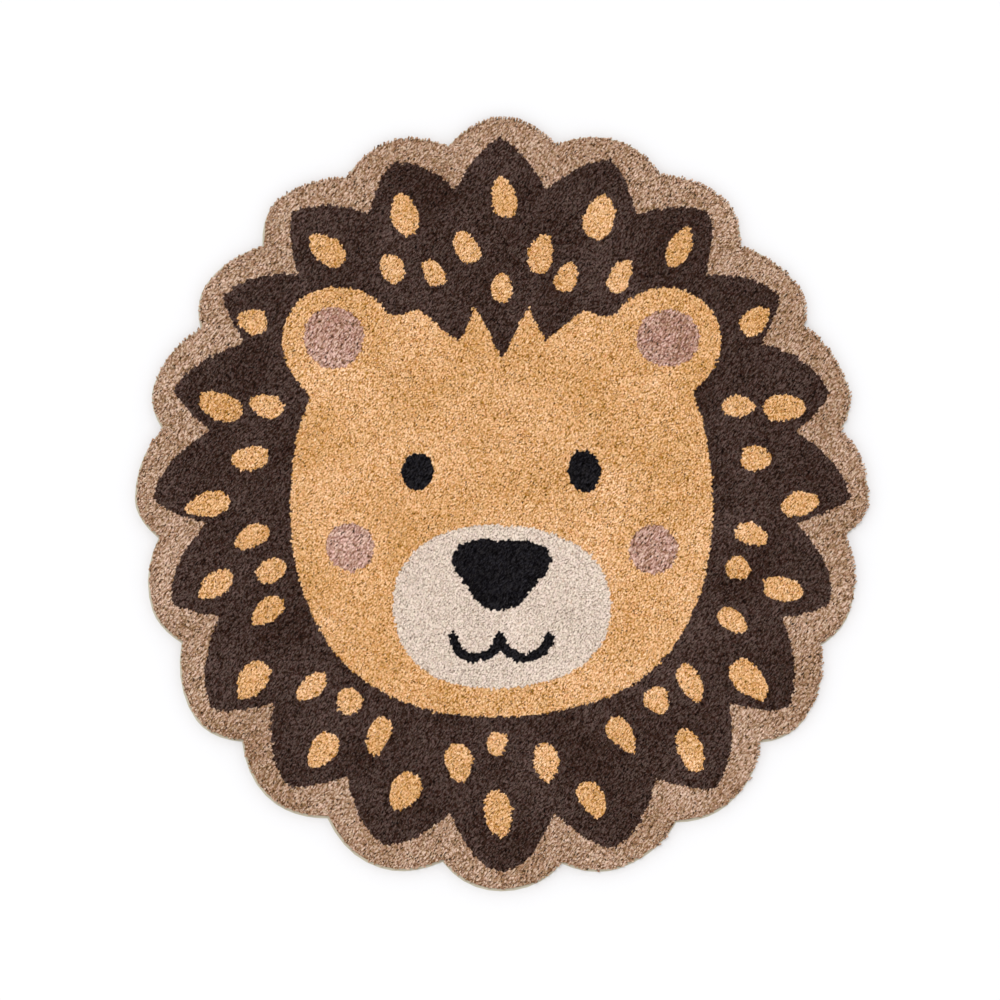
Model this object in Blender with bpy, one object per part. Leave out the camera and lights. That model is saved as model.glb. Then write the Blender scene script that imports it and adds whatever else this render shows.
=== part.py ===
"""A lion-head rug for a child's room: cut cotton pile tufted in seven yarns on a canvas backing.

Metres, +Z up, +Y towards the crown of the head. The rug lies flat with its backing on z = 0 and
its origin under the middle of its own box. The drawing is symmetrical about x = 0, but for the
small wander of a hand-held tufting gun and for the flecks, no two of which are quite alike.

Each field of pile is a block of its own, tufted in its own yarn. All of them have one height, and
a shallow parting runs along every line where two yarns meet. Turns are degrees clockwise from the
crown, and a reach is a distance from the middle of the rug.
"""

import math
import random

import bmesh
import bpy
from mathutils import Vector, geometry

# Size of the rug
RUG_WIDTH = 1.04
RUG_LENGTH = 1.10
RUG_THICKNESS = 0.014
BACKING_THICKNESS = 0.0025
GAP = 0.0003

# Mane: pointed locks whose tips lie on an oval, inside a narrow band with shallow rounded scallops
LOCKS = 20
LOCK_SPACING = 360.0 / LOCKS
LOCK_SWEEP = 4.4
LOCK_DEPTH = 0.070
LOCK_FLANKS = (1.55, 1.25)
BORDER_WIDTH = 0.029
BORDER_SCALLOP = 0.031
BORDER_SWEEP = 2.8
BORDER_FLANKS = (2.1, 1.9)
BORDER_ROW_SHARE = 0.7

# One row for each lock from the crown down to the chin, the same on both sides
LOCK_ROWS = (
    # tip_back, deeper: how far the tip stops short of the oval, and what its lower valley gains
    (0.000, 0.004),
    (0.009, -0.006),
    (0.002, 0.006),
    (0.010, 0.000),
    (0.003, -0.004),
    (0.000, 0.005),
    (0.008, -0.003),
    (0.001, 0.006),
    (0.009, -0.002),
    (0.003, 0.003),
    (0.000, 0.000),
)

# Face: a squarish round with a fuller lower half, and a round ear on each side
FACE_HALF_WIDTH = 0.300
FACE_TOP = 0.286
FACE_BOTTOM = 0.308
FACE_SQUARENESS = 2.35
EAR_TURN = 46.0
EAR_REACH = 0.320
EAR_RADIUS = 0.080
EAR_HALF_SWEEP = 105.0
EAR_STAND_OUT = 0.004
INNER_EAR_RADIUS = 0.043
INNER_EAR_REACH = 0.329

# Forelock: the mane's three short locks that hang over the forehead, right half
FORELOCK_ROWS = (
    # turn, drop: where the outline of the face turns, and how far it lies inside the plain face
    (0.0, 0.082),
    (8.5, 0.008),
    (15.5, 0.056),
    (23.5, 0.000),
)
FORELOCK_BOW = 1.3

# Small fields inside the face
EYE_X = 0.117
EYE_Y = 0.038
EYE_WIDTH = 0.047
EYE_HEIGHT = 0.058
CHEEK_X = 0.215
CHEEK_Y = -0.070
CHEEK_RADIUS = 0.035
MUZZLE_Y = -0.154
MUZZLE_HALF_WIDTH = 0.153
MUZZLE_TOP = 0.116
MUZZLE_BOTTOM = 0.114
MUZZLE_SQUARENESS = 2.25
NOSE_Y = -0.100
NOSE_RADIUS = 0.048
NOSE_WIDENING = 1.35
NOSE_CORNERS = 0.16
MOUTH_Y = -0.192
MOUTH_ROUND = 0.033
MOUTH_STROKE = 0.014

# Flecks of light yarn in the mane: two staggered rings that stop short of the ears, and single
# ones round the ears and between the rings. A share is the way from the plain face to the tips
FLECK_RINGS = (
    # name, first_turn, share, length, width
    ("outer", 0.0, 0.61, 0.062, 0.038),
    ("inner", LOCK_SPACING / 2, 0.31, 0.052, 0.035),
)
FLECK_SINGLES = (
    # turn, share, length, width: one on each side, or one in all at the crown and the chin
    (0.0, 0.10, 0.042, 0.032),
    (17.3, 0.17, 0.045, 0.033),
    (35.5, 0.64, 0.058, 0.037),
    (56.0, 0.66, 0.050, 0.034),
    (67.5, 0.27, 0.044, 0.032),
    (107.0, 0.22, 0.043, 0.032),
    (143.5, 0.22, 0.045, 0.033),
    (180.0, 0.19, 0.040, 0.032),
)
FLECK_EAR_CLEARANCE = 18.0
FLECK_TAPER = 0.22
FLECK_SIZE_SPREAD = 0.13
FLECK_TURN_SPREAD = 1.3
FLECK_SHARE_SPREAD = 0.035
FLECK_LEAN_SPREAD = 15.0
FLECK_EDGE_SPREAD = 0.07
FLECK_SEED = 168

# Wander of the drawn lines: it fades out where the rug touches its own box
WANDER_ROWS = (
    # size, turns per metre along x and along y, start
    (0.0021, 2.6, 1.4, 0.4),
    (0.0011, 5.9, -3.1, 2.0),
)
WANDER_FADE = 0.040

# Corners along the drawn lines
FLANK_STEPS = 5
FORELOCK_STEPS = 3
FOREHEAD_STEP = 5.0
EAR_STEPS = 9
JAW_START = 1.5
JAW_STEPS = 20
ROUND_STEPS = 16
MUZZLE_STEPS = 44
NOSE_STEPS = 20
BOW_STEPS = 8
FLECK_STEPS = 11

# Pile and backing, side on: how far in from the drawn line, and how high
PARTING = 0.0015
BACKING_ROWS = (
    # inset, height: the turned edge of the canvas
    (0.0010, 0.0000),
    (0.0000, 0.0008),
    (0.0000, 0.0017),
    (0.0010, BACKING_THICKNESS),
)
RIM_ROWS = (
    # inset, height over the canvas: the pile's outer side from its root to its rounded shoulder
    (0.0048, 0.0000),
    (0.0024, 0.0046),
    (0.0036, 0.0090),
    (0.0080, 0.0112),
)

# Lay of the pile: slow waves that lift or sink its top
LAY_HEIGHT = 0.0006
LAY_ROWS = (
    # share, then radians per metre along x and along y of a sine and of a cosine
    (0.65, (9.0, 4.0), (-3.0, 7.0)),
    (0.35, (23.0, -11.0), (5.0, 19.0)),
)
LAY_SPACING = 0.040
LAY_CLEARANCE = 0.018

# Yarns and cloth: base colour (linear), roughness
CANVAS = ("canvas", (0.620, 0.545, 0.430), 0.92)
TAUPE_YARN = ("taupe_yarn", (0.408, 0.258, 0.179), 0.95)
BROWN_YARN = ("brown_yarn", (0.066, 0.036, 0.029), 0.95)
OCHRE_YARN = ("ochre_yarn", (0.686, 0.371, 0.159), 0.95)
MAUVE_YARN = ("mauve_yarn", (0.434, 0.246, 0.184), 0.95)
CREAM_YARN = ("cream_yarn", (0.694, 0.565, 0.473), 0.95)
BLACK_YARN = ("black_yarn", (0.012, 0.011, 0.013), 0.95)

BASE = BACKING_THICKNESS + GAP
HALF_GAP = GAP / 2

# Shading and meshing
SHARP_TURN = 40.0
FILL_INSIDE = 1
FILL_TOLERANCE = 1e-7


def clear_scene():
    """Start from an empty scene."""
    for existing in list(bpy.data.objects):
        bpy.data.objects.remove(existing, do_unlink=True)


def make_material(name, colour, roughness):
    """A plain material in the colour of one yarn or cloth."""
    material = bpy.data.materials.get(name)
    if material is None:
        material = bpy.data.materials.new(name)
        material.use_nodes = True
        shader = material.node_tree.nodes["Principled BSDF"]
        shader.inputs["Base Color"].default_value = (*colour, 1.0)
        shader.inputs["Roughness"].default_value = roughness
        shader.inputs["Metallic"].default_value = 0.0
        material.diffuse_color = (*colour, 1.0)
    return material


# Outlines: closed loops of points, each counter-clockwise


def at_turn(turn, reach, centre=(0.0, 0.0)):
    """The point at a turn from the crown and a reach from a centre."""
    angle = math.radians(turn)
    return (centre[0] + reach * math.sin(angle), centre[1] + reach * math.cos(angle))


def neighbours(loop):
    """Each corner of a loop with the next one."""
    return zip(loop, loop[1:] + loop[:1])


def counter_clockwise(loop):
    """The same loop, turned round if it runs clockwise."""
    doubled_area = sum(here[0] * after[1] - after[0] * here[1] for here, after in neighbours(loop))
    return loop if doubled_area > 0 else loop[::-1]


def both_sides(half):
    """The closed loop of turns and reaches that run down the right side, mirrored on the left."""
    left = [(-turn, reach) for turn, reach in half[1:-1]]
    return counter_clockwise([at_turn(*point) for point in half + left[::-1]])


def inset(loop, distance):
    """Move each side of a counter-clockwise loop inwards by a distance, or outwards if negative."""
    moved = []
    for before, here, after in zip(loop[-1:] + loop[:-1], loop, loop[1:] + loop[:1]):
        side_in = Vector((here[0] - before[0], here[1] - before[1])).normalized()
        side_out = Vector((after[0] - here[0], after[1] - here[1])).normalized()
        inward = Vector((-side_in.y - side_out.y, side_in.x + side_out.x))
        inward.normalize()
        across = max(0.5, inward.dot(Vector((-side_out.y, side_out.x))))
        step = inward * (distance / across)
        moved.append((here[0] + step.x, here[1] + step.y))
    return moved


def oval_reach(turn, margin):
    """Reach at a turn of the oval that keeps a margin inside the rug's box."""
    angle = math.radians(turn)
    across = math.sin(angle) / (RUG_WIDTH / 2 - margin)
    return 1.0 / math.hypot(across, math.cos(angle) / (RUG_LENGTH / 2 - margin))


def squarish_reach(turn, half_width, top, bottom, squareness):
    """Reach at a turn of a squarish round whose upper and lower halves may differ in height."""
    angle = math.radians(turn)
    half_height = top if math.cos(angle) > 0 else bottom
    across = abs(math.sin(angle)) / half_width
    along = abs(math.cos(angle)) / half_height
    return (across**squareness + along**squareness) ** (-1.0 / squareness)


def flank(valley, tip, power):
    """Turns and reaches from a valley up to a tip, leaving out the tip itself."""
    points = []
    for step in range(FLANK_STEPS):
        along = step / FLANK_STEPS
        rise = 1.0 - (1.0 - along) ** power
        turn = valley[0] + (tip[0] - valley[0]) * along
        points.append((turn, valley[1] + (tip[1] - valley[1]) * rise))
    return points


def locks_outline(margin, depth, sweep, flanks, row_share):
    """A ring of locks whose tips lie on an oval that keeps a margin inside the rug's box."""
    tips = []
    for number, (tip_back, _) in enumerate(LOCK_ROWS):
        turn = number * LOCK_SPACING
        tips.append((turn, oval_reach(turn, margin) - tip_back * row_share))
    half = [tips[0]]
    for (_, deeper), tip, next_tip in zip(LOCK_ROWS, tips, tips[1:]):
        middle = tip[0] + LOCK_SPACING / 2
        turn = middle - sweep * math.sin(math.radians(middle))
        valley = (turn, oval_reach(turn, margin) - depth - deeper * row_share)
        half += flank(valley, tip, flanks[1])[:0:-1]
        half += flank(valley, next_tip, flanks[0])
        half.append(next_tip)
    return both_sides(half)


def wander(loop):
    """The loop as the hand draws it: each point shifted a little, like the points near it."""
    drawn = []
    for x, y in loop:
        margin = min(RUG_WIDTH / 2 - abs(x), RUG_LENGTH / 2 - abs(y))
        fade = max(0.0, min(1.0, margin / WANDER_FADE))
        shift_x = 0.0
        shift_y = 0.0
        for size, along_x, along_y, start in WANDER_ROWS:
            shift_x += size * math.sin(2 * math.pi * (along_x * x + along_y * y) + start)
            shift_y += size * math.sin(2 * math.pi * (along_x * y - along_y * x) + 2 * start)
        drawn.append((x + shift_x * fade, y + shift_y * fade))
    return drawn


def rim_outline():
    """The outer edge of the rug: shallow rounded scallops."""
    return locks_outline(0.0, BORDER_SCALLOP, BORDER_SWEEP, BORDER_FLANKS, BORDER_ROW_SHARE)


def mane_outline():
    """The edge of the mane inside the border: deep pointed locks, swept down."""
    return locks_outline(BORDER_WIDTH, LOCK_DEPTH, LOCK_SWEEP, LOCK_FLANKS, 1.0)


def face_reach(turn):
    """Reach at a turn of the plain face, with neither ears nor forelock."""
    return squarish_reach(turn, FACE_HALF_WIDTH, FACE_TOP, FACE_BOTTOM, FACE_SQUARENESS)


def forelock_line():
    """Turns and reaches where the forelock cuts into the forehead."""
    points = []
    for upper, lower in zip(FORELOCK_ROWS, FORELOCK_ROWS[1:]):
        rises = upper[1] < lower[1]
        for step in range(FORELOCK_STEPS):
            along = step / FORELOCK_STEPS
            share = 1.0 - (1.0 - along) ** FORELOCK_BOW if rises else along**FORELOCK_BOW
            turn = upper[0] + (lower[0] - upper[0]) * along
            drop = upper[1] + (lower[1] - upper[1]) * share
            points.append((turn, face_reach(turn) - drop))
    return points


def ear_arc():
    """Turns and reaches along the part of the right ear that stands out of the face."""
    centre = at_turn(EAR_TURN, EAR_REACH)
    points = []
    for step in range(-EAR_STEPS, EAR_STEPS + 1):
        point = at_turn(EAR_TURN + EAR_HALF_SWEEP * step / EAR_STEPS, EAR_RADIUS, centre)
        turn = math.degrees(math.atan2(point[0], point[1]))
        reach = math.hypot(*point)
        if reach > face_reach(turn) + EAR_STAND_OUT:
            points.append((turn, reach))
    return points


def face_outline():
    """The face with both ears, and the forelock cut into the forehead."""
    half = forelock_line()
    ear = ear_arc()
    turn = FORELOCK_ROWS[-1][0]
    while turn < ear[0][0] - 1.0:
        half.append((turn, face_reach(turn)))
        turn += FOREHEAD_STEP
    half += ear
    first = ear[-1][0] + JAW_START
    for step in range(JAW_STEPS + 1):
        turn = first + (180.0 - first) * step / JAW_STEPS
        half.append((turn, face_reach(turn)))
    return both_sides(half)


def round_outline(centre, width, height):
    """An upright oval."""
    loop = []
    for step in range(ROUND_STEPS):
        angle = 2 * math.pi * step / ROUND_STEPS
        x = centre[0] + width / 2 * math.cos(angle)
        loop.append((x, centre[1] + height / 2 * math.sin(angle)))
    return loop


def muzzle_outline():
    """A wide squarish round."""
    shape = (MUZZLE_HALF_WIDTH, MUZZLE_TOP, MUZZLE_BOTTOM, MUZZLE_SQUARENESS)
    turns = [360.0 * step / MUZZLE_STEPS for step in range(MUZZLE_STEPS)]
    centre = (0.0, MUZZLE_Y)
    return counter_clockwise([at_turn(turn, squarish_reach(turn, *shape), centre) for turn in turns])


def nose_outline():
    """A soft triangle that points down."""
    loop = []
    for step in range(NOSE_STEPS):
        angle = 2 * math.pi * step / NOSE_STEPS
        reach = NOSE_RADIUS * (1.0 + NOSE_CORNERS * math.sin(3 * angle))
        loop.append((reach * math.cos(angle) * NOSE_WIDENING, NOSE_Y + reach * math.sin(angle)))
    return loop


def mouth_outline():
    """A stroke of even width along two bows that meet under the nose."""
    thick = MOUTH_STROKE / 2
    outer = MOUTH_ROUND + thick
    inner = MOUTH_ROUND - thick
    meeting = math.acos(MOUTH_ROUND / outer)
    under = []
    over = []
    for step in range(BOW_STEPS + 1):
        angle = -meeting - (math.pi - meeting) * step / BOW_STEPS
        under.append((-MOUTH_ROUND + outer * math.cos(angle), MOUTH_Y + outer * math.sin(angle)))
    for step in range(BOW_STEPS + 1):
        angle = -math.pi + math.pi * step / BOW_STEPS
        over.append((-MOUTH_ROUND + inner * math.cos(angle), MOUTH_Y + inner * math.sin(angle)))
    end = (-2 * MOUTH_ROUND, MOUTH_Y + thick)
    left = under + [end] + over
    right = [(-x, y) for x, y in left[1:]]
    crown = [(0.0, MOUTH_Y + thick)]
    return counter_clockwise(left + crown + right[::-1])


def fleck_outline(turn, share, length, width, chance):
    """An uneven drop that points out along its turn and leans with the locks beside it."""
    turn += chance.uniform(-FLECK_TURN_SPREAD, FLECK_TURN_SPREAD)
    share += chance.uniform(-FLECK_SHARE_SPREAD, FLECK_SHARE_SPREAD)
    length *= 1.0 + chance.uniform(-FLECK_SIZE_SPREAD, FLECK_SIZE_SPREAD)
    width *= 1.0 + chance.uniform(-FLECK_SIZE_SPREAD, FLECK_SIZE_SPREAD)
    lean = turn + 2 * LOCK_SWEEP * math.sin(math.radians(turn))
    lean = math.radians(lean + chance.uniform(-FLECK_LEAN_SPREAD, FLECK_LEAN_SPREAD))
    plain = face_reach(turn)
    centre = at_turn(turn, plain + (oval_reach(turn, BORDER_WIDTH) - plain) * share)
    out = Vector((math.sin(lean), math.cos(lean)))
    side = Vector((out.y, -out.x))
    loop = []
    for step in range(FLECK_STEPS):
        angle = 2 * math.pi * step / FLECK_STEPS
        uneven = 1.0 + chance.uniform(-FLECK_EDGE_SPREAD, FLECK_EDGE_SPREAD)
        along = math.cos(angle) * length / 2 * uneven
        across = math.sin(angle) * (1.0 - FLECK_TAPER * math.cos(angle)) * width / 2 * uneven
        point = out * along + side * across
        loop.append((centre[0] + point.x, centre[1] + point.y))
    return counter_clockwise(loop)


def fleck_outlines():
    """Every fleck's name and loop."""
    places = []
    for name, first_turn, *shape in FLECK_RINGS:
        for number in range(LOCKS):
            turn = first_turn + number * LOCK_SPACING
            if abs(min(turn, 360.0 - turn) - EAR_TURN) > FLECK_EAR_CLEARANCE:
                places.append((f"fleck_{name}_{number + 1:02d}", turn, *shape))
    number = 0
    for turn, *shape in FLECK_SINGLES:
        for own_turn in (turn, 360.0 - turn) if 0.0 < turn < 180.0 else (turn,):
            number += 1
            places.append((f"fleck_single_{number:02d}", own_turn, *shape))
    chance = random.Random(FLECK_SEED)
    return {name: fleck_outline(*place, chance) for name, *place in places}


# Solids


def lay(x, y):
    """How far the lay of the pile lifts or sinks its top at a point."""
    lift = 0.0
    for share, along, across in LAY_ROWS:
        wave = math.sin(along[0] * x + along[1] * y) * math.cos(across[0] * x + across[1] * y)
        lift += share * LAY_HEIGHT * wave
    return lift


def level(x, y):
    """No lift at all."""
    return 0.0


def is_inside(point, loop):
    """Whether a point lies in a loop."""
    inside = False
    for here, after in neighbours(loop):
        if (here[1] > point[1]) != (after[1] > point[1]):
            share = (point[1] - here[1]) / (after[1] - here[1])
            if point[0] < here[0] + share * (after[0] - here[0]):
                inside = not inside
    return inside


def is_clear(point, loops, distance):
    """Whether a point keeps a distance to every corner and side middle of the loops."""
    for loop in loops:
        for here, after in neighbours(loop):
            middle = ((here[0] + after[0]) / 2, (here[1] + after[1]) / 2)
            for corner in (here, middle):
                if math.hypot(point[0] - corner[0], point[1] - corner[1]) < distance:
                    return False
    return True


def lay_points(outer, holes):
    """Points of a staggered grid inside a field, clear of its edges."""
    points = []
    rows = int(RUG_LENGTH / LAY_SPACING / 2) + 1
    for row in range(-rows, rows + 1):
        shift = LAY_SPACING / 2 if row % 2 else 0.0
        for column in range(-rows, rows + 1):
            point = (column * LAY_SPACING + shift, row * LAY_SPACING)
            if not is_inside(point, outer) or any(is_inside(point, hole) for hole in holes):
                continue
            if is_clear(point, [outer, *holes], LAY_CLEARANCE):
                points.append(point)
    return points


def raise_side(mesh, loop, rows, lift, is_outer):
    """One side of a slab, from its lowest ring to its highest one; both rings come back."""
    rings = []
    for number, (distance, height) in enumerate(rows):
        ring = []
        for x, y in inset(loop, distance if is_outer else -distance):
            ring.append(mesh.verts.new((x, y, height + (lift(x, y) if number else 0.0))))
        rings.append(ring)
    for below, above in zip(rings, rings[1:]):
        for (low, low_after), (high, high_after) in zip(neighbours(below), neighbours(above)):
            side = [low, low_after, high_after, high]
            mesh.faces.new(side if is_outer else side[::-1])
    return rings[0], rings[-1]


def cap(mesh, rings, extra, upward):
    """Fill the first ring, leaving the others open, with triangles that also use extra corners."""
    corners = [vertex for ring in rings for vertex in ring] + extra
    sides = []
    first = 0
    for ring in rings:
        count = len(ring)
        sides += [(first + step, first + (step + 1) % count) for step in range(count)]
        first += count
    flat = [Vector((vertex.co.x, vertex.co.y)) for vertex in corners]
    holes = [[tuple(vertex.co.xy) for vertex in ring] for ring in rings[1:]]
    filled = geometry.delaunay_2d_cdt(flat, sides, [], FILL_INSIDE, FILL_TOLERANCE)
    made_from = filled[3]
    for face in filled[2]:
        triangle = [corners[made_from[index][0]] for index in face]
        middle = sum((vertex.co.xy for vertex in triangle), Vector((0.0, 0.0))) / 3
        if not any(is_inside(middle, hole) for hole in holes):
            mesh.faces.new(triangle if upward else triangle[::-1])


def make_solid(name, loops, side_rows, top_points, lift, finish):
    """A closed slab over the first loop with the others as holes: sides, then caps."""
    mesh = bmesh.new()
    outer_rows, hole_rows = side_rows
    sides = [raise_side(mesh, loops[0], outer_rows, lift, True)]
    sides += [raise_side(mesh, loop, hole_rows, lift, False) for loop in loops[1:]]
    top_height = outer_rows[-1][1]
    extra = [mesh.verts.new((x, y, top_height + lift(x, y))) for x, y in top_points]
    cap(mesh, [lowest for lowest, highest in sides], [], False)
    cap(mesh, [highest for lowest, highest in sides], extra, True)
    bmesh.ops.triangulate(mesh, faces=[face for face in mesh.faces if len(face.verts) > 3])
    data = bpy.data.meshes.new(name)
    mesh.to_mesh(data)
    mesh.free()
    data.shade_smooth()
    data.set_sharp_from_angle(angle=math.radians(SHARP_TURN))
    data.materials.append(make_material(*finish))
    bpy.context.collection.objects.link(bpy.data.objects.new(name, data))


def pile_field(name, outline, holes, finish, is_rim=False):
    """One yarn's block of pile, with a parting round it and round each field inside it."""
    parting_rows = (
        (HALF_GAP, BASE),
        (HALF_GAP, RUG_THICKNESS - PARTING),
        (HALF_GAP + PARTING, RUG_THICKNESS),
    )
    rim_rows = tuple((distance, BASE + height) for distance, height in RIM_ROWS)
    rows = (rim_rows if is_rim else parting_rows, parting_rows)
    make_solid(name, [outline, *holes], rows, lay_points(outline, holes), lay, finish)


def face_fields():
    """The small fields that lie straight in the face: each one's name, loop and yarn."""
    fields = {}
    for side, sign in (("left", -1), ("right", 1)):
        ear_centre = at_turn(sign * EAR_TURN, INNER_EAR_REACH)
        inner_ear = round_outline(ear_centre, 2 * INNER_EAR_RADIUS, 2 * INNER_EAR_RADIUS)
        cheek = round_outline((sign * CHEEK_X, CHEEK_Y), 2 * CHEEK_RADIUS, 2 * CHEEK_RADIUS)
        eye = round_outline((sign * EYE_X, EYE_Y), EYE_WIDTH, EYE_HEIGHT)
        fields[f"inner_ear_{side}"] = (wander(inner_ear), MAUVE_YARN)
        fields[f"cheek_{side}"] = (wander(cheek), MAUVE_YARN)
        fields[f"eye_{side}"] = (wander(eye), BLACK_YARN)
    return fields


def build_rug():
    """Every field of the rug, from the backing up and from the border in."""
    rim = wander(rim_outline())
    mane = wander(mane_outline())
    face = wander(face_outline())
    muzzle = wander(muzzle_outline())
    nose = wander(nose_outline())
    mouth = wander(mouth_outline())
    flecks = {name: wander(loop) for name, loop in fleck_outlines().items()}
    in_face = face_fields()
    make_solid("backing", [rim], (BACKING_ROWS, ()), [], level, CANVAS)
    pile_field("pile_border", rim, [mane], TAUPE_YARN, is_rim=True)
    pile_field("pile_mane", mane, [face, *flecks.values()], BROWN_YARN)
    pile_field("pile_face", face, [muzzle, *(loop for loop, yarn in in_face.values())], OCHRE_YARN)
    pile_field("muzzle", muzzle, [nose, mouth], CREAM_YARN)
    pile_field("nose", nose, [], BLACK_YARN)
    pile_field("mouth", mouth, [], BLACK_YARN)
    for name, (loop, yarn) in in_face.items():
        pile_field(name, loop, [], yarn)
    for name, loop in flecks.items():
        pile_field(name, loop, [], OCHRE_YARN)


clear_scene()
build_rug()
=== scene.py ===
import math

import bmesh
import bpy
import numpy as np
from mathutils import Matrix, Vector
from mathutils.bvhtree import BVHTree


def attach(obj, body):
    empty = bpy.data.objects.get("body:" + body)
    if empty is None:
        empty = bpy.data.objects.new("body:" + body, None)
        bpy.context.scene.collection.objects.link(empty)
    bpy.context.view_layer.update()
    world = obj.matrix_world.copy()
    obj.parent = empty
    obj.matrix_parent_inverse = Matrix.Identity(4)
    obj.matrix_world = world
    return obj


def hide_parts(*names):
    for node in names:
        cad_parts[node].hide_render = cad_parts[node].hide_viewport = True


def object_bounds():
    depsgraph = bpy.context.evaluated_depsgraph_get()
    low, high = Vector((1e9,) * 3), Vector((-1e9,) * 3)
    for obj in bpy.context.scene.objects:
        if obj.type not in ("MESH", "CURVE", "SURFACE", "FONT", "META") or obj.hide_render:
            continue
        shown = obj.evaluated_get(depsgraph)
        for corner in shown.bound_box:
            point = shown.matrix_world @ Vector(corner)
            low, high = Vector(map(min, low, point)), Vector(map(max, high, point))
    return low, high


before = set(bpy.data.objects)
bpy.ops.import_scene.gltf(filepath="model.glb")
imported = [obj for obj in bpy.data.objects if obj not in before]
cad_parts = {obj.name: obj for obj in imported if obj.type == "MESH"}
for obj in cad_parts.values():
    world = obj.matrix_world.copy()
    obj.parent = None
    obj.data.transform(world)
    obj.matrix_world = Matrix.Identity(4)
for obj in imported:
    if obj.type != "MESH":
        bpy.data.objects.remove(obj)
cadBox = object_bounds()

print("rug: frame loaded,", len(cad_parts), "nodes")

# Camera, almost straight above and a little towards the chin
cameraLook = {
    "distance": 3.4,  # metres from the middle of the rug
    "tilt": 5.0,  # degrees off the vertical
    "rugPixels": 733.0,  # how wide the rug's 1.04 m comes out
    "rugWidth": 1.04,
    "middle": (501.5, 499.5),  # pixel where the rug's middle lands
    "frame": 1000.0,  # pixels along each side of the picture
    "sensor": 36.0,
    "nearest": 0.05,  # metres, the span that the camera sees
    "farthest": 60.0,
}


def addCamera(look):
    data = bpy.data.cameras.new("rugCamera")
    camera = bpy.data.objects.new("rugCamera", data)
    bpy.context.scene.collection.objects.link(camera)
    tilt = math.radians(look["tilt"])
    camera.location = (0.0, -look["distance"] * math.sin(tilt), look["distance"] * math.cos(tilt))
    camera.rotation_euler = (tilt, 0.0, 0.0)
    focalPixels = look["rugPixels"] / look["rugWidth"] * look["distance"]
    data.sensor_width = look["sensor"]
    data.lens = focalPixels * look["sensor"] / look["frame"]
    data.shift_x = -(look["middle"][0] - look["frame"] / 2) / look["frame"]
    data.shift_y = (look["middle"][1] - look["frame"] / 2) / look["frame"]
    data.clip_start = look["nearest"]
    data.clip_end = look["farthest"]
    bpy.context.scene.camera = camera


addCamera(cameraLook)

# How the solids are read
solidLook = {
    "weld": 1e-5,  # metres, corners closer than this are one corner
    "level": 1e-5,  # metres, how high a corner of the flat underside may be
    "decimals": 5,  # how finely two corners of the underside are told apart
}


def meshPoints(mesh):
    points = np.empty(len(mesh.vertices) * 3)
    mesh.vertices.foreach_get("co", points)
    return points.reshape(-1, 3)


def solidOf(node):
    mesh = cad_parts[node].data
    return meshPoints(mesh), [tuple(face.vertices) for face in mesh.polygons]


def weldedSolid(node):
    solid = bmesh.new()
    solid.from_mesh(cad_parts[node].data)
    bmesh.ops.remove_doubles(solid, verts=solid.verts, dist=solidLook["weld"])
    solid.verts.index_update()
    return solid


def areaInside(loop):
    # square metres, above zero where the loop runs counter-clockwise from above
    forward = np.roll(loop, -1, axis=0)
    return 0.5 * float(np.sum(loop[:, 0] * forward[:, 1] - forward[:, 0] * loop[:, 1]))


def edgeOfRug():
    # the outline of the canvas, as one loop of points, from the flat underside of its solid
    points, faces = solidOf("backing")
    sides = set()
    for face in faces:
        if max(points[corner][2] for corner in face) > solidLook["level"]:
            continue
        keys = [tuple(np.round(points[corner][:2], solidLook["decimals"])) for corner in face]
        sides.update(zip(keys, keys[1:] + keys[:1]))
    # a side that two faces share runs both ways, and a side of the outline only one way
    after = {here: there for here, there in sides if (there, here) not in sides}
    start = min(after)
    loop = [start]
    while after[loop[-1]] != start:
        loop.append(after[loop[-1]])
    loop = np.array(loop)
    return loop if areaInside(loop) > 0 else loop[::-1].copy()


def edgeDistance(points, loop):
    # signed distance to the loop, positive inside, and the way out at the nearest side
    nearest = np.full(len(points), np.inf)
    outward = np.zeros((len(points), 2))
    inside = np.zeros(len(points), bool)
    for here, there in zip(loop, np.roll(loop, -1, axis=0)):
        side = there - here
        share = np.clip(((points - here) @ side) / (side @ side), 0.0, 1.0)
        gap = np.linalg.norm(points - (here + share[:, None] * side), axis=1)
        closer = gap < nearest
        nearest[closer] = gap[closer]
        outward[closer] = np.array((side[1], -side[0])) / np.linalg.norm(side)
        if here[1] != there[1]:
            spans = (here[1] > points[:, 1]) != (there[1] > points[:, 1])
            cross = here[0] + (points[:, 1] - here[1]) / (there[1] - here[1]) * side[0]
            inside ^= spans & (points[:, 0] < cross)
    return np.where(inside, nearest, -nearest), outward


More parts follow.
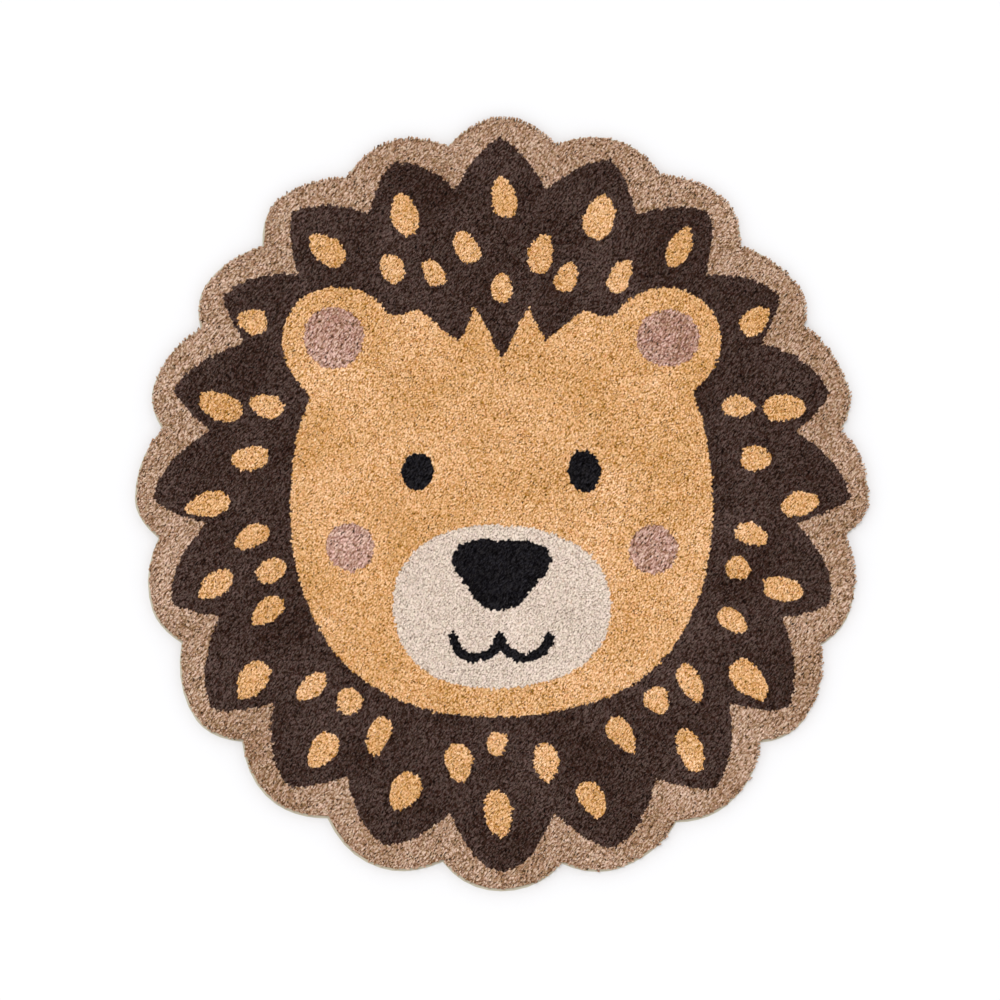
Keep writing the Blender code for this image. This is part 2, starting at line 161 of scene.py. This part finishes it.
# Pile: sizes in metres, shared by every yarn
pileLook = {
    "pitch": 0.0036,  # from tuft to tuft
    "jitter": 0.22,  # of the pitch
    "seed": 11,
    "layTurn": 50.0,  # degrees, the way most tufts lean on the floor plan
    "layLean": 0.0026,  # how far a tip stands off its root
    "layDrift": 0.0013,  # slow change of that lean across the rug
    "layScatter": 0.0004,  # each tuft's own
    "driftSize": 0.09,  # how far apart the lean has changed
    "driftSeeds": (1, 2),  # for the change along x and along y
    "driftWaves": 7,  # waves that add up to the change
    "driftStretch": (1.4, 3.0),  # their length in drift sizes
    "headLong": 0.0031,  # half sizes of a tuft's cut end
    "headAcross": 0.0021,
    "headSpread": 0.13,  # how much the ends differ in size, as a share
    "headLimits": (0.6, 1.5),  # smallest and largest of them
    "headUneven": 0.18,  # how far each corner of an end is off
    "headTilt": 0.10,  # slope of the cut end, rise over run
    "headTurn": 26.0,  # degrees off the tuft's own lean
    "headSkew": 25.0,  # degrees, where the corners of an end start
    "heightScatter": 0.0004,
    "bedTop": 0.0122,  # up to here the tufts press together into one bed
    "bedIn": 0.0032,  # how far the bed stays inside the rug's edge
    "footDepth": 0.0040,  # how deep in the bed a tuft starts
    "footWidth": 0.7,  # of its cut end
    "edgeRoot": 0.0018,  # closest a root comes to the edge of the canvas
    "edgeBand": 0.0085,  # where the pile opens outwards
    "edgeSplay": 0.0016,  # how much farther the tips lean out there
    "edgeOver": 0.0012,  # farthest a tip hangs over the edge
    "edgeHead": 0.78,  # how much smaller the ends are there
    "edgeLow": 0.0095,  # the lowest tips of the rug, in its rounded rim
    "edgeFoot": 0.0029,  # where the tufts start there, just above the canvas
    "fieldScatter": 0.0008,  # how far a tuft may stand off the line between two yarns
    "tintScatter": 0.035,  # of brightness, from tuft to tuft
    "rayStart": 0.01,  # how far above the rug the search for its top starts
}


def slowNoise(points, look, seed):
    # smooth noise of about -1 to 1 whose bumps are about one drift size across
    draw = np.random.default_rng(seed)
    total = np.zeros(len(points))
    for _ in range(look["driftWaves"]):
        way = draw.uniform(0, 2 * math.pi)
        reach = 2 * math.pi / (look["driftSize"] * draw.uniform(*look["driftStretch"]))
        start = draw.uniform(0, 2 * math.pi)
        along = points[:, 0] * math.cos(way) + points[:, 1] * math.sin(way)
        total += np.sin(along * reach + start)
    return total / math.sqrt(look["driftWaves"])


def plantRoots(look, loop, draw):
    # rows of roots, each row half a pitch off the last, and every root a little off its place
    pitch = look["pitch"]
    low = loop.min(axis=0)
    high = loop.max(axis=0)
    rowStep = pitch * math.sqrt(3) / 2
    rows = int((high[1] - low[1]) / rowStep) + 2
    columns = int((high[0] - low[0]) / pitch) + 2
    across, along = np.meshgrid(np.arange(columns), np.arange(rows))
    roots = np.stack((
        low[0] + (across + 0.5 * (along % 2)) * pitch,
        low[1] + along * rowStep,
    ), axis=-1).reshape(-1, 2)
    return roots + draw.uniform(-1, 1, roots.shape) * pitch * look["jitter"]


def plantTufts(look, loop):
    # every tuft of the rug: where it is rooted, where its tip stands, and its own size and tint
    draw = np.random.default_rng(look["seed"])
    roots = plantRoots(look, loop, draw)
    inside, outward = edgeDistance(roots, loop)
    keep = inside > look["edgeRoot"]
    roots, inside, outward = roots[keep], inside[keep], outward[keep]
    count = len(roots)
    turn = math.radians(look["layTurn"])
    lean = np.tile((look["layLean"] * math.cos(turn), look["layLean"] * math.sin(turn)), (count, 1))
    for axis, seed in enumerate(look["driftSeeds"]):
        lean[:, axis] += look["layDrift"] * slowNoise(roots, look, seed)
    lean += draw.normal(0, look["layScatter"], (count, 2))
    opening = np.clip(1.0 - inside / look["edgeBand"], 0.0, 1.0)
    lean += outward * (opening * look["edgeSplay"])[:, None]
    tips = roots + lean
    beyond, _ = edgeDistance(tips, loop)
    back = np.clip(-beyond - look["edgeOver"], 0.0, None)
    tips -= outward * back[:, None]
    ownTurn = np.radians(draw.normal(0, look["headTurn"], count))
    uneven = look["headUneven"]
    return {
        "root": roots,
        "tip": tips,
        "inside": inside,
        "turn": np.arctan2(lean[:, 1], lean[:, 0]) + ownTurn,
        "size": np.clip(draw.normal(1.0, look["headSpread"], (count, 2)), *look["headLimits"]),
        "corner": draw.uniform(1 - uneven, 1 + uneven, (count, 4)),
        "tilt": draw.normal(0, look["headTilt"], (count, 2)),
        "rise": draw.normal(0, look["heightScatter"], count),
        "tint": draw.normal(1.0, look["tintScatter"], count),
        "warm": draw.uniform(0.0, 1.0, count),
        "stray": draw.normal(0, look["fieldScatter"], (count, 2)),
    }


def readFields(tufts, look):
    # which pile node each tip stands on, and how high its top is there
    names = [name for name in sorted(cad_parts) if name != "backing"]
    allPoints = []
    allFaces = []
    owner = []
    for number, name in enumerate(names):
        points, faces = solidOf(name)
        first = len(allPoints)
        allPoints.extend(map(tuple, points))
        allFaces.extend(tuple(first + corner for corner in face) for face in faces)
        owner.extend([number] * len(faces))
    tree = BVHTree.FromPolygons(allPoints, allFaces)
    level = cadBox[1].z
    above = level + look["rayStart"]
    field = np.empty(len(tufts["tip"]), int)
    top = np.empty(len(tufts["tip"]))
    for index, (x, y) in enumerate(tufts["tip"] + tufts["stray"]):
        place, _, face, _ = tree.ray_cast(Vector((x, y, above)), Vector((0, 0, -1)))
        if place is None or place.z < look["bedTop"]:
            # in a parting or past the rim: the nearest field has it
            place, _, face, _ = tree.find_nearest(Vector((x, y, level)))
        field[index] = owner[face]
        top[index] = place.z
    tufts["top"] = np.maximum(top, look["edgeLow"]) + tufts["rise"]
    tufts["field"] = field
    return names


# A tuft is closed: corners 0 to 3 are its foot, 4 to 7 its cut end, and each face has four
tuftSides = 4
tuftCorners = 2 * tuftSides
tuftFaces = ((0, 1, 5, 4), (1, 2, 6, 5), (2, 3, 7, 6), (3, 0, 4, 7), (4, 5, 6, 7), (3, 2, 1, 0))
endFace = 4  # which of them is the cut end


def tuftMesh(tufts, chosen, look):
    # corners and faces of the chosen tufts, each a narrow foot and a wider cut end
    root = tufts["root"][chosen]
    tip = tufts["tip"][chosen]
    top = tufts["top"][chosen]
    turn = tufts["turn"][chosen]
    size = tufts["size"][chosen]
    tilt = tufts["tilt"][chosen]
    uneven = tufts["corner"][chosen]
    nearEdge = tufts["inside"][chosen] < look["edgeBand"]
    size = size * np.where(nearEdge, look["edgeHead"], 1.0)[:, None]
    foot = np.where(nearEdge, look["edgeFoot"], look["bedTop"] - look["footDepth"])
    wayLong = np.stack((np.cos(turn), np.sin(turn)), axis=-1)
    wayAcross = np.stack((-np.sin(turn), np.cos(turn)), axis=-1)
    corners = np.empty((len(root), tuftCorners, 3))
    for step in range(tuftSides):
        angle = math.pi / 2 * step + math.radians(look["headSkew"])
        reachLong = math.cos(angle) * look["headLong"] * size[:, 0] * uneven[:, step]
        reachAcross = math.sin(angle) * look["headAcross"] * size[:, 1] * uneven[:, step]
        reach = wayLong * reachLong[:, None] + wayAcross * reachAcross[:, None]
        corners[:, step, :2] = root + reach * look["footWidth"]
        corners[:, step, 2] = foot
        corners[:, tuftSides + step, :2] = tip + reach
        corners[:, tuftSides + step, 2] = top + np.sum(reach * tilt, axis=1)
    first = np.arange(len(root)) * tuftCorners
    faces = np.array(tuftFaces)[None] + first[:, None, None]
    # depth runs from 0 at a tuft's foot to 1 at its cut end and paints shade down the tuft; tint
    # and warm are each tuft's own tone at random
    marks = {
        "depth": np.tile(np.repeat((0.0, 1.0), tuftSides), len(root)),
        "tint": np.repeat(tufts["tint"][chosen], tuftCorners),
        "warm": np.repeat(tufts["warm"][chosen], tuftCorners),
    }
    return corners.reshape(-1, 3), faces.reshape(-1, tuftSides), marks


# What the bed has in place of a tuft's own depth, tint and warmth: its depth of 0 gives it the
# painted shade of the deep colour all over
bedMarks = {"depth": 0.0, "tint": 1.0, "warm": 0.5}


def bedMesh(node, look, loop):
    # the thick of the pile under the tips: the solid, lowered, and drawn in at the rug's edge
    solid = weldedSolid(node)
    points = np.array([tuple(corner.co) for corner in solid.verts])
    faces = [[corner.index for corner in face.verts] for face in solid.faces]
    solid.free()
    points[:, 2] = np.minimum(points[:, 2], look["bedTop"])
    inside, outward = edgeDistance(points[:, :2], loop)
    push = np.clip(look["bedIn"] - inside, 0.0, None)
    points[:, :2] -= outward * push[:, None]
    return points, faces


# Colour map of a piece, as shares of its square
mapLook = {
    "seenShare": 0.86,  # side of the square for the cut ends and the bed, as seen from above
    "hiddenStart": 0.88,  # corner of the square for the sides and feet of the tufts
    "hiddenShare": 0.11,
}


def addPlanMap(mesh, tuftFaceCount):
    points = meshPoints(mesh)
    corners = np.empty(len(mesh.loops), int)
    mesh.loops.foreach_get("vertex_index", corners)
    low = points[:, :2].min(axis=0)
    size = points[:, :2].max(axis=0) - low
    plan = (points[corners, :2] - low) / size
    hidden = np.zeros(len(corners), bool)
    ofTufts = tuftFaceCount * tuftSides
    hidden[:ofTufts] = np.arange(ofTufts) // tuftSides % len(tuftFaces) != endFace
    places = plan * mapLook["seenShare"]
    places[hidden] = plan[hidden] * mapLook["hiddenShare"] + mapLook["hiddenStart"]
    layer = mesh.uv_layers.new(name="OFBake")
    layer.data.foreach_set("uv", places.astype(np.float32).ravel())


def meshFrom(name, points, loops, sizes):
    # loops has the corners of every face in turn, and sizes how many each face has
    mesh = bpy.data.meshes.new(name)
    mesh.vertices.add(len(points))
    mesh.vertices.foreach_set("co", points.ravel())
    mesh.loops.add(len(loops))
    mesh.loops.foreach_set("vertex_index", loops)
    mesh.polygons.add(len(sizes))
    mesh.polygons.foreach_set("loop_start", np.concatenate(([0], np.cumsum(sizes)[:-1])))
    mesh.update(calc_edges=True)
    mesh.validate()
    return mesh


def joinPiece(name, nodes, slotName, tufts, chosen, bedNodes, look, loop):
    # one piece: the tufts of some nodes with the bed under them
    corners, quads, marks = tuftMesh(tufts, chosen, look)
    faceLists = [quads.ravel()]
    faceSizes = [np.full(len(quads), tuftSides)]
    pointLists = [corners]
    first = len(corners)
    for node in bedNodes:
        points, faces = bedMesh(node, look, loop)
        pointLists.append(points)
        faceLists.append(np.array([first + corner for face in faces for corner in face]))
        faceSizes.append(np.array([len(face) for face in faces]))
        first += len(points)
    points = np.concatenate(pointLists)
    mesh = meshFrom(name, points, np.concatenate(faceLists), np.concatenate(faceSizes))
    for mark, values in marks.items():
        layer = mesh.attributes.new(mark, "FLOAT", "POINT")
        bed = np.full(len(points) - len(corners), bedMarks[mark])
        layer.data.foreach_set("value", np.concatenate((values, bed)).astype(np.float32))
    addPlanMap(mesh, len(quads))
    mesh.shade_flat()
    mesh.materials.append(yarnMaterial(slotName))
    piece = bpy.data.objects.new(name, mesh)
    bpy.context.scene.collection.objects.link(piece)
    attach(piece, "root")
    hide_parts(*nodes)
    return piece


def link(tree, fromSocket, toSocket):
    tree.links.new(fromSocket, toSocket)


def addNode(tree, kind, **settings):
    node = tree.nodes.new("ShaderNode" + kind)
    for setting, value in settings.items():
        setattr(node, setting, value)
    return node


def markValue(tree, name):
    return addNode(tree, "Attribute", attribute_name=name).outputs["Fac"]


def noise(tree, place, scale, detail):
    node = addNode(tree, "TexNoise")
    node.inputs["Scale"].default_value = scale
    node.inputs["Detail"].default_value = detail
    link(tree, place, node.inputs["Vector"])
    return node.outputs["Fac"]


def spread(tree, value, low, high, fromLow=0.3, fromHigh=0.7):
    # most of a noise lies between 0.3 and 0.7
    node = addNode(tree, "MapRange")
    for name, number in (("From Min", fromLow), ("From Max", fromHigh),
                         ("To Min", low), ("To Max", high)):
        node.inputs[name].default_value = number
    link(tree, value, node.inputs["Value"])
    return node.outputs["Result"]


def times(tree, first, second):
    node = addNode(tree, "Math", operation="MULTIPLY")
    link(tree, first, node.inputs[0])
    link(tree, second, node.inputs[1])
    return node.outputs["Value"]


def blend(tree, share, colourA, colourB):
    node = addNode(tree, "Mix", data_type="RGBA")
    link(tree, share, node.inputs["Factor"])
    for name, colour in (("A", colourA), ("B", colourB)):
        if isinstance(colour, tuple):
            node.inputs[name].default_value = (*colour, 1)
        else:
            link(tree, colour, node.inputs[name])
    return node.outputs["Result"]


def scaled(tree, colour, strength):
    node = addNode(tree, "VectorMath", operation="SCALE")
    link(tree, colour, node.inputs[0])
    link(tree, strength, node.inputs["Scale"])
    return node.outputs["Vector"]


def bumped(tree, height, strength, distance):
    node = addNode(tree, "Bump")
    node.inputs["Strength"].default_value = strength
    node.inputs["Distance"].default_value = distance
    link(tree, height, node.inputs["Height"])
    return node.outputs["Normal"]


# Yarns: the linear colours of two tones that the cut ends vary between at random, and the painted
# shade that the yarn gets down in the pile, then the weights of the soft sheen and of the gloss.
# Grain is how strong the changes of fibreLook are in a yarn, fine how fine its strands are beside
# the ochre's, and patch how far its slow patches of painted light and shade show
yarnLook = {
    "taupe_yarn": {
        "tip": (0.404, 0.257, 0.186), "other": (0.370, 0.252, 0.169),
        "deep": (0.277, 0.168, 0.114), "sheen": 0.14, "shine": 0.12,
        "grain": 5.0, "fine": 0.7, "patch": 1.1,
    },
    "brown_yarn": {
        "tip": (0.0483, 0.0258, 0.0214), "other": (0.0437, 0.0265, 0.0201),
        "deep": (0.0234, 0.0119, 0.0093), "sheen": 0.04, "shine": 0.03,
        "grain": 8.5, "fine": 0.72, "patch": 2.1,
    },
    "ochre_yarn": {
        "tip": (0.687, 0.405, 0.219), "other": (0.677, 0.437, 0.248),
        "deep": (0.635, 0.340, 0.163), "sheen": 0.14, "shine": 0.12,
        "grain": 2.7, "fine": 1.0, "patch": 0.7,
    },
    "mauve_yarn": {
        "tip": (0.456, 0.274, 0.229), "other": (0.421, 0.271, 0.203),
        "deep": (0.326, 0.187, 0.138), "sheen": 0.14, "shine": 0.12,
        "grain": 4.4, "fine": 0.7, "patch": 1.2,
    },
    "cream_yarn": {
        "tip": (0.731, 0.613, 0.546), "other": (0.718, 0.626, 0.532),
        "deep": (0.684, 0.560, 0.476), "sheen": 0.14, "shine": 0.12,
        "grain": 1.25, "fine": 1.1, "patch": 0.25,
    },
    "black_yarn": {
        "tip": (0.0077, 0.0071, 0.0091), "other": (0.0082, 0.0071, 0.0076),
        "deep": (0.0045, 0.0041, 0.0045), "sheen": 0.015, "shine": 0.02,
        "grain": 11.0, "fine": 0.72, "patch": 1.5,
    },
}

# What the yarns share. Low, high and speck are changes of brightness, for a grain of 1
fibreLook = {
    "patchScale": 10.0,  # bumps per metre of the slow patches of painted light and shade that the lay gives
    "patchDetail": 1.0,
    "patchDepth": 0.12,  # share of brightness, for a patch of 1
    "strandScale": 680.0,  # strands per metre across a cut end
    "strandLong": 2.8,  # how much longer they are along the lean
    "strandUneven": 0.75,  # how far strands and plies stray from even rows
    "creaseLow": -0.70,  # painted shade between two strands
    "creaseHigh": 0.05,  # on a strand
    "creaseFrom": 0.5,  # where in a cell the crease starts, and is at its darkest
    "creaseTo": 0.92,
    "plyScale": 960.0,  # the finer plies of a strand, which differ in brightness
    "plyLong": 2.3,
    "plyLow": -0.09,
    "plyHigh": 0.09,
    "speck": -0.50,  # painted shade, the dark between some of the plies
    "speckShare": 0.03,  # how many of them are that dark
    "speckRamp": 0.02,
    "darkest": 0.06,  # least brightness that a change leaves
    "dim": 0.5,  # brightness where the colour has the fullness richDark
    "bright": 1.5,  # and where it has richLight
    "richDark": 1.5,
    "richLight": 0.84,
    "bump": 0.5,
    "bumpDistance": 0.0006,
    "roughness": 0.93,
    "sheenRoughness": 0.55,
}


def shaded(tree, colour, strength, look):
    # brighter or darker by the strength, and fuller in colour where it is dark
    node = addNode(tree, "HueSaturation")
    fullness = spread(tree, strength, look["richDark"], look["richLight"],
                      look["dim"], look["bright"])
    link(tree, fullness, node.inputs["Saturation"])
    link(tree, strength, node.inputs["Value"])
    link(tree, colour, node.inputs["Color"])
    return node.outputs["Color"]


def cells(tree, place, scale, long, look):
    # a scatter of cells drawn out along the lean of the pile
    lay = addNode(tree, "Mapping", vector_type="TEXTURE")
    lay.inputs["Rotation"].default_value = (0.0, 0.0, math.radians(pileLook["layTurn"]))
    lay.inputs["Scale"].default_value = (long, 1.0, 1.0)
    link(tree, place, lay.inputs["Vector"])
    node = addNode(tree, "TexVoronoi", feature="F1")
    node.inputs["Scale"].default_value = scale
    node.inputs["Randomness"].default_value = look["strandUneven"]
    link(tree, lay.outputs["Vector"], node.inputs["Vector"])
    return node


def yarnMaterial(slotName):
    # cotton yarn: painted shade darker down the tuft, each tuft its own tone, with slow patches of
    # painted light and shade from the lay
    found = bpy.data.materials.get(slotName + "Pile")
    if found:
        return found
    yarn = yarnLook[slotName]
    look = fibreLook
    material = bpy.data.materials.new(slotName + "Pile")
    material.use_nodes = True
    tree = material.node_tree
    shader = tree.nodes["Principled BSDF"]
    shader.inputs["Roughness"].default_value = look["roughness"]
    shader.inputs["Specular IOR Level"].default_value = yarn["shine"]
    shader.inputs["Sheen Weight"].default_value = yarn["sheen"]
    shader.inputs["Sheen Roughness"].default_value = look["sheenRoughness"]
    place = addNode(tree, "TexCoord").outputs["Object"]
    strands = cells(tree, place, look["strandScale"] * yarn["fine"], look["strandLong"], look)
    plies = cells(tree, place, look["plyScale"] * yarn["fine"], look["plyLong"], look)
    chance = addNode(tree, "SeparateColor")
    link(tree, plies.outputs["Color"], chance.inputs["Color"])
    change = {name: max(look["darkest"], 1 + yarn["grain"] * look[name])
              for name in ("plyLow", "plyHigh", "creaseLow", "creaseHigh", "speck")}
    own = spread(tree, chance.outputs["Red"], change["plyLow"], change["plyHigh"], 0.0, 1.0)
    # painted shade in the creases between strands; the same crease gives the bump
    crease = spread(tree, strands.outputs["Distance"], change["creaseHigh"], change["creaseLow"],
                    look["creaseFrom"], look["creaseTo"])
    # painted shade in the dark gaps between a few plies
    rare = look["speckShare"]
    speck = spread(tree, chance.outputs["Green"], change["speck"], 1.0,
                   rare, rare + look["speckRamp"])
    # slow patches of painted light and shade, as the lay of the pile gives them
    patches = noise(tree, place, look["patchScale"], look["patchDetail"])
    slow = look["patchDepth"] * yarn["patch"]
    tip = blend(tree, markValue(tree, "warm"), yarn["tip"], yarn["other"])
    # painted shade: the deep colour down the tuft and over all of the bed, the cut end's own colour
    # at the top
    shade = blend(tree, markValue(tree, "depth"), yarn["deep"], tip)
    strength = times(tree, spread(tree, patches, 1 - slow, 1 + slow),
                     times(tree, own, times(tree, crease, speck)))
    strength = times(tree, strength, markValue(tree, "tint"))
    link(tree, shaded(tree, shade, strength, look), shader.inputs["Base Color"])
    normal = bumped(tree, crease, look["bump"], look["bumpDistance"])
    link(tree, normal, shader.inputs["Normal"])
    return material


# Pieces of pile: the nodes each one stands for, in full or by the word that their names start
# with. A large field is two pieces, above and below a line, and the upper one has the whole bed
fieldLook = {
    "borderPileUpper": {"nodes": ["pile_border"], "slot": "taupe_yarn", "above": 0.0},
    "borderPileLower": {"nodes": ["pile_border"], "slot": "taupe_yarn", "below": 0.0},
    "manePileCrown": {"nodes": ["pile_mane"], "slot": "brown_yarn", "above": 0.0},
    "manePileChin": {"nodes": ["pile_mane"], "slot": "brown_yarn", "below": 0.0},
    "facePileUpper": {"nodes": ["pile_face"], "slot": "ochre_yarn", "above": 0.02},
    "facePileLower": {"nodes": ["pile_face"], "slot": "ochre_yarn", "below": 0.02},
    "muzzlePile": {"nodes": ["muzzle"], "slot": "cream_yarn"},
    "nosePile": {"nodes": ["nose"], "slot": "black_yarn"},
    "mouthPile": {"nodes": ["mouth"], "slot": "black_yarn"},
    "eyePileLeft": {"nodes": ["eye_left"], "slot": "black_yarn"},
    "eyePileRight": {"nodes": ["eye_right"], "slot": "black_yarn"},
    "cheekPileLeft": {"nodes": ["cheek_left"], "slot": "mauve_yarn"},
    "cheekPileRight": {"nodes": ["cheek_right"], "slot": "mauve_yarn"},
    "innerEarPileLeft": {"nodes": ["inner_ear_left"], "slot": "mauve_yarn"},
    "innerEarPileRight": {"nodes": ["inner_ear_right"], "slot": "mauve_yarn"},
    "fleckPileOuter": {"nodes": "fleck_outer", "slot": "ochre_yarn"},
    "fleckPileInner": {"nodes": "fleck_inner", "slot": "ochre_yarn"},
    "fleckPileSingle": {"nodes": "fleck_single", "slot": "ochre_yarn"},
}


def plantFields(loop):
    tufts = plantTufts(pileLook, loop)
    names = readFields(tufts, pileLook)
    print("rug:", len(tufts["root"]), "tufts")
    pieces = []
    for name, look in fieldLook.items():
        nodes = look["nodes"]
        if isinstance(nodes, str):
            nodes = [node for node in names if node.startswith(nodes)]
        chosen = np.isin(tufts["field"], [names.index(node) for node in nodes])
        if "above" in look:
            chosen &= tufts["tip"][:, 1] >= look["above"]
        if "below" in look:
            chosen &= tufts["tip"][:, 1] < look["below"]
        bedNodes = [] if "below" in look else nodes
        piece = joinPiece(name, nodes, look["slot"], tufts, chosen, bedNodes, pileLook, loop)
        pieces.append(piece)
        triangles = sum(face.loop_total - 2 for face in piece.data.polygons)
        print("rug:", name, int(chosen.sum()), "tufts", triangles, "triangles")
    return pieces


# Backing: cotton canvas, seen along the edge of the rug and from below
canvasLook = {
    "colour": (0.620, 0.560, 0.430),
    "other": (0.560, 0.515, 0.400),
    "thread": 0.0011,  # metres from thread to thread
    "bandLength": 0.31416,  # metres from band to band of a wave at scale 1
    "waver": 1.2,  # how far the threads stray
    "waverDetail": 1.0,
    "weaveLow": 0.86,  # brightness between the threads, a painted shade, and on them
    "weaveHigh": 1.08,
    "patchScale": 24.0,  # bumps per metre
    "patchDetail": 4.0,
    "patchLow": 0.92,
    "patchHigh": 1.05,
    "bump": 0.35,
    "bumpDistance": 0.0005,
    "roughness": 0.9,
    "shine": 0.2,
    "sharpAngle": 50.0,  # degrees, edges sharper than this aren't smoothed over
}


def canvasMaterial(look):
    material = bpy.data.materials.new("canvasWeave")
    material.use_nodes = True
    tree = material.node_tree
    shader = tree.nodes["Principled BSDF"]
    shader.inputs["Roughness"].default_value = look["roughness"]
    shader.inputs["Specular IOR Level"].default_value = look["shine"]
    place = addNode(tree, "TexCoord").outputs["Object"]
    threads = []
    for direction in ("X", "Y"):
        wave = addNode(tree, "TexWave", wave_type="BANDS", bands_direction=direction)
        wave.inputs["Scale"].default_value = look["bandLength"] / look["thread"]
        wave.inputs["Distortion"].default_value = look["waver"]
        wave.inputs["Detail"].default_value = look["waverDetail"]
        link(tree, place, wave.inputs["Vector"])
        threads.append(wave.outputs["Fac"])
    weave = times(tree, *threads)
    patches = noise(tree, place, look["patchScale"], look["patchDetail"])
    # painted shade between the threads of the weave, and slow patches of the canvas's own tone
    strength = times(tree, spread(tree, weave, look["weaveLow"], look["weaveHigh"], 0.0, 1.0),
                     spread(tree, patches, look["patchLow"], look["patchHigh"]))
    colour = blend(tree, patches, look["colour"], look["other"])
    link(tree, scaled(tree, colour, strength), shader.inputs["Base Color"])
    normal = bumped(tree, weave, look["bump"], look["bumpDistance"])
    link(tree, normal, shader.inputs["Normal"])
    return material


def addBacking(look):
    solid = weldedSolid("backing")
    mesh = bpy.data.meshes.new("canvasBacking")
    solid.to_mesh(mesh)
    solid.free()
    mesh.materials.append(canvasMaterial(look))
    mesh.shade_smooth()
    mesh.set_sharp_from_angle(angle=math.radians(look["sharpAngle"]))
    backing = bpy.data.objects.new("canvasBacking", mesh)
    bpy.context.scene.collection.objects.link(backing)
    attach(backing, "root")
    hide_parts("backing")
    return backing


# Floor and light
studioLook = {
    "floor": (0.81, 0.81, 0.82),
    "floorSize": 24.0,
    "floorLevel": -0.0003,  # just under the rug
    "floorRoughness": 0.8,
    "floorShine": 0.2,
    "sky": (1.0, 1.0, 1.0),
    "skyStrength": 0.92,
    "keyStrength": 1.08,
    "keyAngle": 14.0,  # degrees across, as seen from the floor
    "keyFrom": (-0.14, 0.20, 0.97),
    "keyHeight": 3.0,
}


def addFloor(look):
    place = (0.0, 0.0, look["floorLevel"])
    bpy.ops.mesh.primitive_plane_add(size=look["floorSize"], location=place)
    floor = bpy.context.object
    floor.name = "floor"
    material = bpy.data.materials.new("paleFloor")
    material.use_nodes = True
    shader = material.node_tree.nodes["Principled BSDF"]
    shader.inputs["Base Color"].default_value = (*look["floor"], 1)
    shader.inputs["Roughness"].default_value = look["floorRoughness"]
    shader.inputs["Specular IOR Level"].default_value = look["floorShine"]
    floor.data.materials.append(material)


def addLight(look):
    world = bpy.data.worlds.new("studio")
    world.use_nodes = True
    background = world.node_tree.nodes["Background"]
    background.inputs["Color"].default_value = (*look["sky"], 1)
    background.inputs["Strength"].default_value = look["skyStrength"]
    bpy.context.scene.world = world
    light = bpy.data.lights.new("softKey", "SUN")
    light.angle = math.radians(look["keyAngle"])
    light.energy = look["keyStrength"]
    lamp = bpy.data.objects.new("softKey", light)
    lamp.location = (0.0, 0.0, look["keyHeight"])
    lamp.rotation_euler = (-Vector(look["keyFrom"])).to_track_quat("-Z", "Y").to_euler()
    bpy.context.scene.collection.objects.link(lamp)
    bpy.context.scene.view_settings.view_transform = "Standard"
    bpy.context.scene.view_settings.look = "None"


edge = edgeOfRug()
addFloor(studioLook)
addLight(studioLook)
print("rug: studio ready")
pile = plantFields(edge)
addBacking(canvasLook)
print("rug: backing laid")
